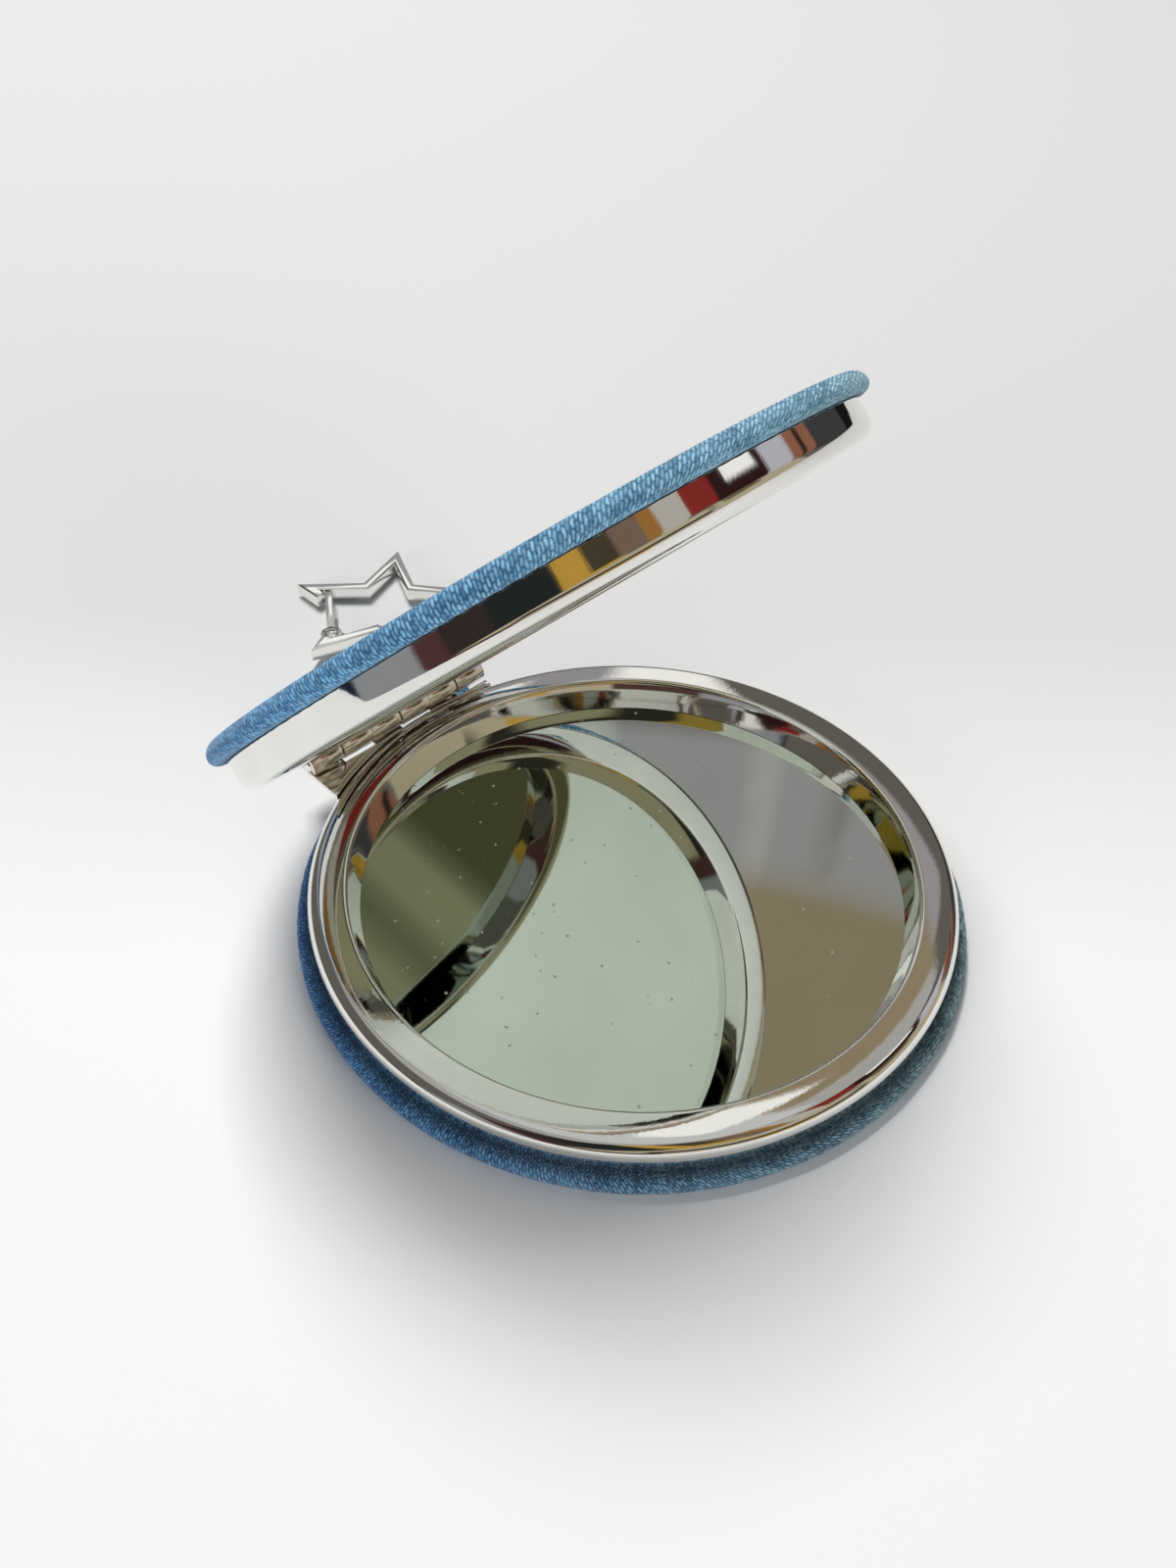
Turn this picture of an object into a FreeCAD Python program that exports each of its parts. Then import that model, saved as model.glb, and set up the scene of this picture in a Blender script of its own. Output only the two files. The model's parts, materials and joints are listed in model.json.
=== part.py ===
import FreeCAD, Part
import os
import re

import Sketcher
from FreeCAD import Placement, Rotation, Vector

# Round compact mirror: two denim-covered halves in bright metal frames, a rolled-knuckle hinge,
# and a star-shaped spring-gate clip on a denim loop.  Millimetres, +Z up, origin at the middle of
# the base's flat underside, hinge towards +Y.  Each half is drawn in its own frame, with Z = 0 on
# the covered face and the glass towards +Z; the lid is the same half turned over and swung open.

SIZES = {
    # frame: a pressed ring that holds the glass and grips the cloth
    "frame_radius": 35.0,
    "frame_sheet": 0.5,
    "edge_round": 0.6,
    "edge_lean": 7.0,
    "land_width": 3.8,
    "land_radius": 20.0,
    "rim_round": 0.6,
    "step_slope": 70.0,
    "step_depth": 3.3,
    "lip_cover": 1.35,
    "closing_gap": 0.3,
    # cover, padding, tray and glass, stacked from the covered face
    "fabric": 0.6,
    "cover_bulge": 1.5,
    "cover_corner": 1.35,
    "cover_shoulder": 0.8,
    "cover_wrap": 1.2,
    "seam_gap": 0.09,
    "hem_grip": 1.26,
    "padding": 0.4,
    "tray_sheet": 0.35,
    "rim_room": 0.65,
    "tape": 0.3,
    "tape_margin": 3.0,
    "glass": 1.1,
    "glass_bevel": 0.25,
    "magnet_length": 7.0,
    "magnet_height": 3.0,
    "magnet_room": 0.75,
    "fit_gap": 0.05,
    # hinge
    "hinge_reach": 1.4,
    "hinge_shift": -3.55,
    "hinge_length": 25.7,
    "knuckle_gap": 0.1,
    "leaf_sheet": 0.6,
    "leaf_inset": 0.26,
    "leaf_seat": 0.03,
    "leaf_clear": 0.15,
    "pin_radius": 0.8,
    "pin_play": 0.05,
    "pin_bevel": 0.2,
    "pin_overhang": 0.15,
    "lid_angle": 47.3,
    # denim loop, in the upright plane through the star
    "strap_width": 3.0,
    "strap_cloth": 0.45,
    "strap_seat": 0.2,
    "strap_exit": 0.8,
    "strap_drop_run": 5.7,
    "strap_hump_run": 8.7,
    "strap_slack": 0.15,
    "strap_reach": 15.35,
    "strap_eye_radius": 1.3,
    "strap_rest": 0.05,
    # star clip
    "star_bearing": 11.5,
    "star_hang": 6.15,
    "star_tilt": 2.4,
    "star_tip": 13.1,
    "star_valley": 6.0,
    "star_bar": 1.3,
    "star_thickness": 2.0,
    "star_bevel": 0.2,
    "nose_length": 4.3,
    "heel_length": 3.0,
    "pivot_along": 3.58,
    "pivot_inset": 0.88,
    "lug_radius": 1.35,
    "rivet_radius": 0.5,
    "rivet_head": 0.95,
    "rivet_dome": 0.25,
    "rivet_play": 0.05,
    "gate_width": 1.0,
    "gate_lap": 0.44,
    "gate_eye": 0.7,
    "gate_play": 0.05,
    "spring_wire": 0.4,
    "spring_leg": 2.0,
    "spring_setback": 2.7,
}

KNUCKLES = 6        # three on each leaf, turn about
TIPS = 5
TURN = 360 / TIPS   # degrees from one star tip to the next

# radii of a half, from the frame inwards
COVER_RADIUS = "(frame_radius + cover_bulge)"
EDGE_RADIUS = "(frame_radius - edge_round * (1 - sin(edge_lean)))"
RIM_RADIUS = "(frame_radius - land_width)"
HEM_OUTER = "(frame_radius - frame_sheet - 2 * fit_gap)"
HEM_INNER = f"({HEM_OUTER} - fabric - fit_gap)"
TRAY_RADIUS = f"({HEM_INNER} - fit_gap)"

# the land's crown: how far it falls to the outer edge, and the sine of its lean at the inner rim
LAND_OFFSET = f"({EDGE_RADIUS} - {RIM_RADIUS} - land_radius * sin(edge_lean))"
LAND_FALL = f"(sqrt(land_radius^2 - {LAND_OFFSET}^2) - land_radius * cos(edge_lean))"
RIM_LEAN = f"({LAND_OFFSET} / land_radius)"

# heights of a half, from the covered face up
TRAY_FLOOR = "(fabric + padding)"
TAPE_FLOOR = f"({TRAY_FLOOR} + tray_sheet)"
GLASS_FLOOR = f"({TAPE_FLOOR} + tape)"
GLASS_TOP = f"({GLASS_FLOOR} + glass)"
LIP_SEAT = f"({GLASS_TOP} + fit_gap)"
CREST = f"({LIP_SEAT} + step_depth)"
LAND_EDGE = f"({CREST} - {LAND_FALL})"
FRAME_EDGE = f"({LAND_EDGE} - edge_round * cos(edge_lean))"
STEP_TOP = f"({CREST} - rim_round * (sqrt(1 - {RIM_LEAN}^2) - cos(step_slope)))"
TRAY_RIM = f"({CREST} - frame_sheet - rim_room)"
COVER_TOP = f"({TRAY_FLOOR} + cover_wrap)"
FRAME_FOOT = f"({COVER_TOP} + seam_gap)"
HEM_TOP = f"({FRAME_FOOT} + hem_grip)"

# the step down from the inner rim ends on the glass
STEP_RADIUS = f"({RIM_RADIUS} - rim_round * (sin(step_slope) - {RIM_LEAN}))"
LIP_RADIUS = f"({STEP_RADIUS} - ({STEP_TOP} - {LIP_SEAT}) / tan(step_slope))"
GLASS_RADIUS = f"({LIP_RADIUS} + lip_cover)"

# hinge
HINGE_AXIS = "(frame_radius + hinge_reach)"
HINGE_HEIGHT = f"({CREST} + closing_gap / 2)"
BORE = "(pin_radius + pin_play)"
KNUCKLE = f"({BORE} + leaf_sheet)"
PITCH = f"(hinge_length / {KNUCKLES})"
LEAF_FOOT = f"({FRAME_FOOT} + leaf_inset)"
LEAF_FLOOR = f"({HINGE_HEIGHT} - {KNUCKLE})"
LEAF_TOP = f"({LEAF_FLOOR} + leaf_sheet)"
LEAF_INNER = "(frame_radius + leaf_seat)"
LEAF_OUTER = f"({LEAF_INNER} + leaf_sheet)"

# denim loop and star: distances from the base's axis
STRAP_TOP = f"({COVER_TOP} - fit_gap)"
STRAP_FLOOR = f"({STRAP_TOP} - 2 * strap_cloth - 2 * fit_gap)"
STRAP_ROOT = f"({HEM_INNER} + strap_seat)"
STRAP_MOUTH = f"({COVER_RADIUS} + strap_exit)"
STRAP_LANDING = f"({STRAP_MOUTH} + strap_drop_run)"
STRAP_HUMP = f"({STRAP_MOUTH} + strap_hump_run)"
STRAP_EYE = f"({STRAP_MOUTH} + strap_reach)"
STAR_REACH = f"({STRAP_EYE} - star_hang + star_tip)"
STAR_LIFT = f"(star_tip * cos({TURN / 2}) * sin(star_tilt) + strap_rest)"
STAR_TOP = f"({STAR_LIFT} + star_tip * sin(star_tilt) + star_thickness * cos(star_tilt))"
STRAP_HUMP_TOP = f"({STAR_TOP} + strap_slack + strap_cloth)"

doc = FreeCAD.newDocument("compact_mirror")
sheet = doc.addObject("Spreadsheet::Sheet", "dims")
for row, (alias, size) in enumerate(SIZES.items(), start=1):
    sheet.set(f"A{row}", alias)
    sheet.set(f"B{row}", str(size))
    sheet.setAlias(f"B{row}", alias)
doc.recompute()

pieces = []


def bound(formula):
    """The formula with every size read from the sheet."""
    return re.sub(r"[a-z_]+", lambda word: "dims." + word[0] if word[0] in SIZES else word[0], formula)


def number(formula):
    """What a formula comes to now."""
    return float(sheet.evalExpression(bound(formula)))


def piece(kind, label, placement):
    """A named sub-part, placed."""
    made = doc.addObject(kind, label)
    made.Label = label
    made.Placement = placement
    pieces.append(made)
    return made


def sketch_on(body, role, name, lift="0"):
    """A sketch on one of the body's own origin planes, lifted along that plane's normal."""
    sketch = body.newObject("Sketcher::SketchObject", name)
    plane = next(item for item in body.Origin.OriginFeatures if item.Role == role)
    sketch.AttachmentSupport = [(plane, "")]
    sketch.MapMode = "FlatFace"
    sketch.setExpression("AttachmentOffset.Base.z", bound(lift))
    return sketch


def hold(sketch, kind, element, formula):
    """A sketch constraint whose value follows a formula."""
    row = sketch.addConstraint(Sketcher.Constraint(kind, *element, number(formula)))
    sketch.setExpression(f"Constraints[{row}]", bound(formula))


def hold_point(sketch, edge, end, corner):
    """Pins one end of an edge at a pair of formulas."""
    for formula, axis, kind in ((corner[0], -2, "DistanceX"), (corner[1], -1, "DistanceY")):
        if formula == "0":
            sketch.addConstraint(Sketcher.Constraint("PointOnObject", edge, end, axis))
        else:
            hold(sketch, kind, (-1, 1, edge, end), formula)


def arc_between(start, finish, radius, turn):
    """The shorter arc between two points; turn is +1 anticlockwise, -1 clockwise."""
    chord = finish - start
    side = Vector(-chord.y, chord.x, 0).normalize() * turn
    centre = (start + finish) * 0.5 + side * max(radius ** 2 - chord.Length ** 2 / 4, 0) ** 0.5
    first, last = (start, finish) if turn > 0 else (finish, start)
    circle = Part.Circle(centre, Vector(0, 0, 1), radius)
    return Part.ArcOfCircle(circle, circle.parameter(first), circle.parameter(last))


def outline(sketch, corners, arcs=None):
    """A closed outline; arcs maps a corner's number to (radius, turn) of the run that leaves it."""
    arcs = arcs or {}
    points = [Vector(number(across), number(up), 0) for across, up in corners]
    ends = []
    for index, start in enumerate(points):
        finish = points[(index + 1) % len(points)]
        if index in arcs:
            radius, turn = arcs[index]
            edge = sketch.addGeometry(arc_between(start, finish, number(radius), turn), False)
            ends.append((edge, 1, 2) if turn > 0 else (edge, 2, 1))
        else:
            edge = sketch.addGeometry(Part.LineSegment(start, finish), False)
            ends.append((edge, 1, 2))
    for index, (edge, first, last) in enumerate(ends):
        after, after_first, _ = ends[(index + 1) % len(ends)]
        sketch.addConstraint(Sketcher.Constraint("Coincident", edge, last, after, after_first))
        hold_point(sketch, edge, first, corners[index])
        if index in arcs:
            hold(sketch, "Radius", (edge,), arcs[index][0])


def disc(sketch, across, up, radius):
    """A circle in a sketch."""
    circle = Part.Circle(Vector(number(across), number(up), 0), Vector(0, 0, 1), number(radius))
    edge = sketch.addGeometry(circle, False)
    hold_point(sketch, edge, 3, (across, up))
    hold(sketch, "Radius", (edge,), radius)


def feature(body, kind, name, sketch, length=None):
    """A sketched feature of a body, with its length where it has one."""
    made = body.newObject(kind, name)
    made.Profile = sketch
    if length:
        made.setExpression("Length", bound(length))
    sketch.Visibility = False
    return made


def revolve(body, sketch, axis):
    """Turns a sketch all the way round one of its own axes."""
    made = feature(body, "PartDesign::Revolution", "Turned", sketch)
    made.ReferenceAxis = (sketch, [axis])
    made.Angle = 360


def along_hinge(body, original, name):
    """Repeats a feature at every second knuckle."""
    row = body.newObject("PartDesign::LinearPattern", name)
    row.Originals = [original]
    axis = next(item for item in body.Origin.OriginFeatures if item.Role == "X_Axis")
    row.Direction = (axis, [""])
    row.Occurrences = KNUCKLES // 2
    row.setExpression("Length", bound(f"{PITCH} * {KNUCKLES - 2}"))
    body.Tip = row


def turned(label, placement, corners, arcs=None):
    """A piece that is one outline turned about the half's axis."""
    body = piece("PartDesign::Body", label, placement)
    sketch = sketch_on(body, "XZ_Plane", f"{label}_outline")
    outline(sketch, corners, arcs)
    revolve(body, sketch, "V_Axis")
    return body


def cover(half, placement):
    """Denim over the padding, its hem pulled up between the tray and the frame."""
    bend = f"({COVER_RADIUS} - cover_corner)"
    side = f"({COVER_RADIUS} - fabric)"
    inside = f"({COVER_TOP} - fabric)"
    corners = [
        ("0", "0"), (bend, "0"), (COVER_RADIUS, "cover_corner"),
        (COVER_RADIUS, f"{COVER_TOP} - cover_shoulder"), (f"{COVER_RADIUS} - cover_shoulder", COVER_TOP),
        (HEM_OUTER, COVER_TOP), (HEM_OUTER, HEM_TOP),
        (HEM_INNER, HEM_TOP), (HEM_INNER, inside), (side, inside), (side, "cover_corner"),
        (bend, "fabric"), ("0", "fabric"),
    ]
    arcs = {1: ("cover_corner", 1), 3: ("cover_shoulder", 1), 10: ("cover_corner - fabric", -1)}
    return turned(f"{half}_cover", placement, corners, arcs)


def padding(half, placement):
    """Wadding disc with a rolled rim that fills the cover's bulge round the tray."""
    bend = f"({COVER_RADIUS} - cover_corner)"
    side = f"({COVER_RADIUS} - fabric - fit_gap)"
    top = f"({COVER_TOP} - fabric - fit_gap)"
    corners = [
        ("0", "fabric + fit_gap"), (bend, "fabric + fit_gap"), (side, "cover_corner"), (side, top),
        (HEM_INNER, top), (HEM_INNER, TRAY_FLOOR), ("0", TRAY_FLOOR),
    ]
    return turned(f"{half}_padding", placement, corners, {1: ("cover_corner - fabric - fit_gap", 1)})


def tray(half, placement):
    """Pressed pan that carries the glass and stiffens the half."""
    inner = f"({TRAY_RADIUS} - tray_sheet)"
    corners = [
        ("0", TRAY_FLOOR), (TRAY_RADIUS, TRAY_FLOOR), (TRAY_RADIUS, TRAY_RIM),
        (inner, TRAY_RIM), (inner, TAPE_FLOOR), ("0", TAPE_FLOOR),
    ]
    turned(f"{half}_tray", placement, corners)


def frame(half, placement):
    """Bright ring: upright wall, rounded edge, gently crowned land and a step down to the glass."""
    wall = "(frame_radius - frame_sheet)"
    under = f"({LAND_EDGE} - frame_sheet)"
    lip_back = f"({LIP_RADIUS} + frame_sheet / sin(step_slope))"
    corners = [
        ("frame_radius", FRAME_FOOT), ("frame_radius", FRAME_EDGE), (EDGE_RADIUS, LAND_EDGE),
        (RIM_RADIUS, CREST), (STEP_RADIUS, STEP_TOP), (LIP_RADIUS, LIP_SEAT), (lip_back, LIP_SEAT),
        (f"{lip_back} + ({under} - {LIP_SEAT}) / tan(step_slope)", under), (wall, under), (wall, FRAME_FOOT),
    ]
    arcs = {1: ("edge_round", 1), 2: ("land_radius", 1), 3: ("rim_round", 1)}
    turned(f"{half}_frame", placement, corners, arcs)


def mirror(half, placement):
    """Silvered glass with a ground edge, on its foam tape."""
    edge = f"({GLASS_RADIUS} - glass_bevel)"
    corners = [
        ("0", GLASS_FLOOR), (edge, GLASS_FLOOR), (GLASS_RADIUS, f"{GLASS_FLOOR} + glass_bevel"),
        (GLASS_RADIUS, f"{GLASS_TOP} - glass_bevel"), (edge, GLASS_TOP), ("0", GLASS_TOP),
    ]
    turned(f"{half}_mirror", placement, corners)
    tape = piece("PartDesign::Body", f"{half}_mirror_tape", placement)
    sketch = sketch_on(tape, "XY_Plane", f"{half}_tape_outline", TAPE_FLOOR)
    disc(sketch, "0", "0", f"{GLASS_RADIUS} - tape_margin")
    feature(tape, "PartDesign::Pad", "Tape", sketch, "tape")


def magnet(half, placement):
    """Bar magnet in the gap between the glass and the tray wall, at the front."""
    back = f"sqrt(({TRAY_RADIUS} - tray_sheet - fit_gap)^2 - (magnet_length / 2)^2)"
    seat = Vector(-number("magnet_length / 2"), -number(back), number(TAPE_FLOOR))
    bar = piece("Part::Box", f"{half}_magnet", placement.multiply(Placement(seat, Rotation())))
    bar.setExpression("Length", bound("magnet_length"))
    bar.setExpression("Width", bound(f"{back} - {GLASS_RADIUS} - magnet_room"))
    bar.setExpression("Height", bound("magnet_height"))


def hinge_leaf(half, placement, left):
    """Pressed leaf: a curved flange on the frame's wall, a flat web and three rolled knuckles."""
    right = f"({left} + hinge_length)"
    body = piece("PartDesign::Body", f"{half}_hinge_leaf", placement)

    def on_arc(across, radius):
        return across, f"sqrt({radius}^2 - {across}^2)"

    # The flange reaches a little into the web so that the two are one sheet.
    flange = sketch_on(body, "XY_Plane", f"{half}_flange", LEAF_FOOT)
    ends = [
        on_arc(left, LEAF_OUTER), on_arc(left, LEAF_INNER),
        on_arc(right, LEAF_INNER), on_arc(right, LEAF_OUTER),
    ]
    outline(flange, ends, {1: (LEAF_INNER, -1), 3: (LEAF_OUTER, 1)})
    feature(body, "PartDesign::Pad", "Flange", flange, f"{LEAF_FLOOR} + leaf_seat - {LEAF_FOOT}")

    web = sketch_on(body, "XY_Plane", f"{half}_web", LEAF_FLOOR)
    corners = [on_arc(left, LEAF_INNER), on_arc(right, LEAF_INNER), (right, HINGE_AXIS), (left, HINGE_AXIS)]
    outline(web, corners, {0: (LEAF_INNER, -1)})
    feature(body, "PartDesign::Pad", "Web", web, "leaf_sheet")

    notch = sketch_on(body, "XY_Plane", f"{half}_notch", LEAF_TOP)
    near = f"({left} + {PITCH} - knuckle_gap)"
    far = f"({left} + 2 * {PITCH})"
    front = f"({HINGE_AXIS} - {KNUCKLE} - leaf_clear)"
    back = f"({HINGE_AXIS} + {KNUCKLE})"
    outline(notch, [(near, front), (far, front), (far, back), (near, back)])
    cut = feature(body, "PartDesign::Pocket", "Notch", notch, "leaf_sheet")
    along_hinge(body, cut, "Notches")

    # The sheet runs under the pin and rolls up behind it, all but closing in front.
    roll = sketch_on(body, "YZ_Plane", f"{half}_roll", left)
    half_turn, end_turn = 60, 200       # degrees: part of the way round the roll, and its end

    def on_roll(radius, turn):
        return f"{HINGE_AXIS} + {radius} * cos({turn})", f"{HINGE_HEIGHT} + {radius} * sin({turn})"

    tail = f"({HINGE_AXIS} - leaf_sheet / 2)"
    corners = [
        (tail, LEAF_FLOOR), (HINGE_AXIS, LEAF_FLOOR), on_roll(KNUCKLE, half_turn), on_roll(KNUCKLE, end_turn),
        on_roll(BORE, end_turn), on_roll(BORE, half_turn), (HINGE_AXIS, LEAF_TOP), (tail, LEAF_TOP),
    ]
    outline(roll, corners, {1: (KNUCKLE, 1), 2: (KNUCKLE, 1), 4: (BORE, -1), 5: (BORE, -1)})
    knuckle = feature(body, "PartDesign::Pad", "Knuckle", roll, f"{PITCH} - knuckle_gap")
    along_hinge(body, knuckle, "Knuckles")


def hinge_pin():
    """Plain pin through all the knuckles, its ends bevelled."""
    end = number("hinge_shift - hinge_length / 2 - pin_overhang")
    start = Vector(end, number(HINGE_AXIS), number(HINGE_HEIGHT))
    body = piece("PartDesign::Body", "hinge_pin", Placement(start, Rotation()))
    sketch = sketch_on(body, "XZ_Plane", "pin_outline")
    length = "(hinge_length + 2 * pin_overhang)"
    corners = [
        ("0", "0"), (length, "0"), (length, "pin_radius - pin_bevel"),
        (f"{length} - pin_bevel", "pin_radius"), ("pin_bevel", "pin_radius"), ("0", "pin_radius - pin_bevel"),
    ]
    outline(sketch, corners)
    revolve(body, sketch, "H_Axis")


def strap_slot(body, placement):
    """Room in a soft piece of the base where the loop goes in under the frame."""
    wide = "(strap_width + 2 * fit_gap)"
    slot = body.newObject("PartDesign::SubtractiveBox", "StrapSlot")
    slot.setExpression("Length", bound(wide))
    slot.setExpression("Width", bound(f"{COVER_RADIUS} - {HEM_INNER} + 2 * fabric"))
    slot.setExpression("Height", bound(HEM_TOP))
    corner = Vector(-number(wide) / 2, number(f"{HEM_INNER} - fabric"), number(f"{STRAP_FLOOR} - fit_gap"))
    slot.Placement = placement.multiply(Placement(corner, Rotation()))


def strap(placement):
    """Denim loop: two layers under the frame's edge that open into an eye round one star tip."""
    body = piece("PartDesign::Body", "charm_strap", placement)
    sketch = sketch_on(body, "YZ_Plane", "strap_outline", "-strap_width / 2")
    outer_eye = "(strap_eye_radius + strap_cloth)"
    eye_middle = f"(strap_rest + {outer_eye})"
    eye_top = f"(strap_rest + 2 * {outer_eye})"
    outside = [
        (STRAP_ROOT, STRAP_FLOOR), (STRAP_MOUTH, STRAP_FLOOR), (STRAP_LANDING, "strap_rest"),
        (STRAP_EYE, "strap_rest"), (f"{STRAP_EYE} + {outer_eye}", eye_middle), (STRAP_EYE, eye_top),
        (STRAP_HUMP, STRAP_HUMP_TOP), (STRAP_MOUTH, STRAP_TOP), (STRAP_ROOT, STRAP_TOP),
    ]
    outline(sketch, outside, {3: (outer_eye, 1), 4: (outer_eye, 1)})
    lower_face = "(strap_rest + strap_cloth)"
    inside = [
        (f"{STRAP_MOUTH} + strap_cloth", f"{STRAP_TOP} - strap_cloth"),
        (f"{STRAP_LANDING} + strap_cloth / 2", lower_face), (STRAP_EYE, lower_face),
        (f"{STRAP_EYE} + strap_eye_radius", eye_middle), (STRAP_EYE, f"{eye_top} - strap_cloth"),
        (STRAP_HUMP, f"{STRAP_HUMP_TOP} - strap_cloth"),
    ]
    outline(sketch, inside, {2: ("strap_eye_radius", 1), 3: ("strap_eye_radius", 1)})
    feature(body, "PartDesign::Pad", "Loop", sketch, "strap_width")


APOTHEM = (
    f"(star_tip * star_valley * sin({TURN / 2})"
    f" / sqrt(star_tip^2 + star_valley^2 - 2 * star_tip * star_valley * cos({TURN / 2})))"
)
SHRINK = f"(1 - star_bar / {APOTHEM})"      # the star's inner outline is the outer one, this much smaller
EDGE = f"sqrt(star_tip^2 + star_valley^2 - 2 * star_tip * star_valley * cos({TURN / 2}))"
NEAR_TIP = 270      # degrees: the tip in the denim loop
LEFT_TIP = NEAR_TIP - TURN              # the gate's heel
UPPER_LEFT_TIP = NEAR_TIP - 2 * TURN    # the gate rests inside this tip's nose
GATE_VALLEY = NEAR_TIP - 1.5 * TURN


def at(radius, degrees):
    """A point at a distance and bearing from the star's centre."""
    return f"({radius} * cos({degrees}))", f"({radius} * sin({degrees}))"


def star_outline(scale):
    """The ten corners of the star, tip and valley in turn."""
    corners = []
    for tip in range(TIPS):
        corners.append(at(f"star_tip * {scale}", NEAR_TIP + TURN * tip))
        corners.append(at(f"star_valley * {scale}", NEAR_TIP + TURN * (tip + 0.5)))
    return corners


def beside_edge(tip, valley, distance, outward):
    """A point so far along the star's edge from a tip to a valley, set off square to that edge."""
    start = at("star_tip", tip)
    finish = at("star_valley", valley)
    along = [f"(({there} - {here}) / {EDGE})" for here, there in zip(start, finish)]
    side = 1 if valley < tip else -1
    across = f"({start[0]} + {along[0]} * {distance} - {along[1]} * {outward} * {side})"
    up = f"({start[1]} + {along[1]} * {distance} + {along[0]} * {outward} * {side})"
    return across, up


PIVOT = beside_edge(LEFT_TIP, NEAR_TIP - TURN / 2, "pivot_along", "-(star_bar + pivot_inset)")
NOSE_CORNER = beside_edge(UPPER_LEFT_TIP, GATE_VALLEY, "nose_length", "-star_bar")
NOSE_SPAN = f"sqrt(({NOSE_CORNER[0]} - {PIVOT[0]})^2 + ({NOSE_CORNER[1]} - {PIVOT[1]})^2)"
GATE_REACH = f"({NOSE_SPAN} + gate_lap)"
# The shut gate's side lies against the nose's inner corner.
GATE_ANGLE = (
    f"(acos(({NOSE_CORNER[0]} - {PIVOT[0]}) / {NOSE_SPAN})"
    f" - asin((gate_width / 2 + gate_play) / {NOSE_SPAN}))"
)


def star_frame(placement):
    """Open five-pointed frame with bevelled edges, a gap for the gate and a forked lug."""
    body = piece("PartDesign::Body", "star_frame", placement)
    sketch = sketch_on(body, "XY_Plane", "star_outline")
    outline(sketch, star_outline("1"))
    outline(sketch, star_outline(SHRINK))
    bars = feature(body, "PartDesign::Pad", "Bars", sketch, "star_thickness")
    doc.recompute()

    top = number("star_thickness")
    rims = []
    for index, edge in enumerate(bars.Shape.Edges, start=1):
        heights = {round(vertex.Z / top, 3) for vertex in edge.Vertexes}
        if len(heights) == 1:
            rims.append(f"Edge{index}")
    bevel = body.newObject("PartDesign::Chamfer", "Bevels")
    bevel.Base = (bars, rims)
    bevel.setExpression("Size", bound("star_bevel"))

    gap = sketch_on(body, "XY_Plane", "gate_gap", "star_thickness")
    beyond = "(2 * star_bar)"
    corners = [
        beside_edge(UPPER_LEFT_TIP, GATE_VALLEY, "nose_length", beyond),
        beside_edge(UPPER_LEFT_TIP, GATE_VALLEY, "nose_length", f"-{beyond}"),
        at(f"star_valley * {SHRINK} / 2", GATE_VALLEY), at(f"(star_tip * {SHRINK} - fit_gap)", LEFT_TIP - 1),
        beside_edge(LEFT_TIP, GATE_VALLEY, "heel_length", beyond),
    ]
    outline(gap, corners)
    feature(body, "PartDesign::Pocket", "GateGap", gap, "star_thickness")

    lug = sketch_on(body, "XY_Plane", "lug_outline")
    disc(lug, *PIVOT, "lug_radius")
    feature(body, "PartDesign::Pad", "Lug", lug, "star_thickness")
    fork = sketch_on(body, "XY_Plane", "fork_outline", "(star_thickness + gate_eye) / 2 + gate_play")
    disc(fork, *PIVOT, "lug_radius + 3 * gate_play")
    feature(body, "PartDesign::Pocket", "Fork", fork, "gate_eye + 2 * gate_play")
    hole = sketch_on(body, "XY_Plane", "rivet_hole", "star_thickness")
    disc(hole, *PIVOT, "rivet_radius")
    feature(body, "PartDesign::Pocket", "RivetHole", hole, "star_thickness")


def rivet(placement):
    """Rivet that the gate turns on, with a domed head."""
    body = piece("PartDesign::Body", "gate_rivet", placement)
    sketch = sketch_on(body, "XZ_Plane", "rivet_profile")
    crown = "(rivet_head^2 / (2 * rivet_dome) + rivet_dome / 2)"
    corners = [
        ("0", "0"), ("rivet_radius", "0"), ("rivet_radius", "star_thickness"),
        ("rivet_head", "star_thickness"), ("0", "star_thickness + rivet_dome"),
    ]
    outline(sketch, corners, {3: (crown, 1)})
    revolve(body, sketch, "V_Axis")


def gate(placement):
    """Straight gate: a thin eye in the lug's fork, then a full-depth bar with a round end."""
    body = piece("PartDesign::Body", "star_gate", placement)
    half = "(gate_width / 2)"
    heel = "(lug_radius + 4 * gate_play)"
    eye = sketch_on(body, "XY_Plane", "eye_outline", "(star_thickness - gate_eye) / 2")
    disc(eye, "0", "0", "lug_radius")
    disc(eye, "0", "0", "rivet_radius + rivet_play")
    feature(body, "PartDesign::Pad", "Eye", eye, "gate_eye")
    neck = sketch_on(body, "XY_Plane", "neck_outline", "(star_thickness - gate_eye) / 2")
    outline(neck, [
        (f"-{half}", "rivet_radius + 4 * rivet_play"), (half, "rivet_radius + 4 * rivet_play"),
        (half, f"{heel} + {half}"), (f"-{half}", f"{heel} + {half}"),
    ])
    feature(body, "PartDesign::Pad", "Neck", neck, "gate_eye")
    bar = sketch_on(body, "XY_Plane", "bar_outline", "gate_play")
    corners = [
        (f"-{half}", heel), (half, heel), (half, f"{GATE_REACH} - {half}"),
        ("0", GATE_REACH), (f"-{half}", f"{GATE_REACH} - {half}"),
    ]
    outline(bar, corners, {2: (half, 1), 3: (half, 1)})
    feature(body, "PartDesign::Pad", "Bar", bar, "star_thickness - 2 * gate_play")


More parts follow.
